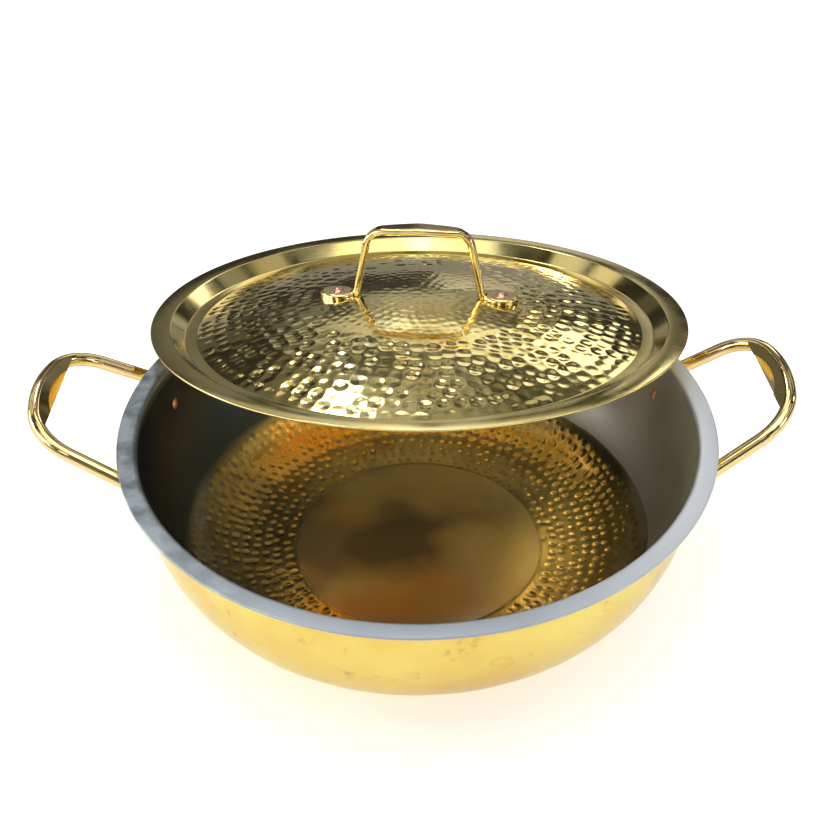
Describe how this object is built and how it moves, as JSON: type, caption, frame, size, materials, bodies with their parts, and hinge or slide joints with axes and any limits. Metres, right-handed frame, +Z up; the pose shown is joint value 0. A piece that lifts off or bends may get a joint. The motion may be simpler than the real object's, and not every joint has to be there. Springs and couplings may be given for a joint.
{
  "type": "lidded cooking pan",
  "caption": "Shallow round hammered brass kadai with a flared rim, two riveted loop handles and a loose stepped lid leaning on its rim.",
  "frame": {"origin": "middle of the flat base, on the surface it stands on", "axes": "+Z up, +X towards the right handle, +Y towards the side the lid leans back over"},
  "size_m": [0.3809, 0.3758, 0.1455],
  "materials": {
    "pan_brass": "hammered, polished outside and tinned grey inside",
    "handle_brass": "polished",
    "lid_brass": "hammered dome, polished step and flange",
    "lid_handle_brass": "polished",
    "copper_rivet": "polished copper"
  },
  "bodies": {
    "pan": {"bowl": "pan_brass", "left_handle": "handle_brass", "right_handle": "handle_brass", "left_back_rivet": "copper_rivet", "left_front_rivet": "copper_rivet", "right_back_rivet": "copper_rivet", "right_front_rivet": "copper_rivet"},
    "lid": {"lid_plate": "lid_brass", "lid_handle": "lid_handle_brass", "lid_left_rivet": "copper_rivet", "lid_right_rivet": "copper_rivet"}
  },
  "joints": [
    {"name": "lid_lift", "type": "slide", "parent": "pan", "child": "lid", "axis": [0, 0, 1], "range_m": [0, 0.12]}
  ]
}
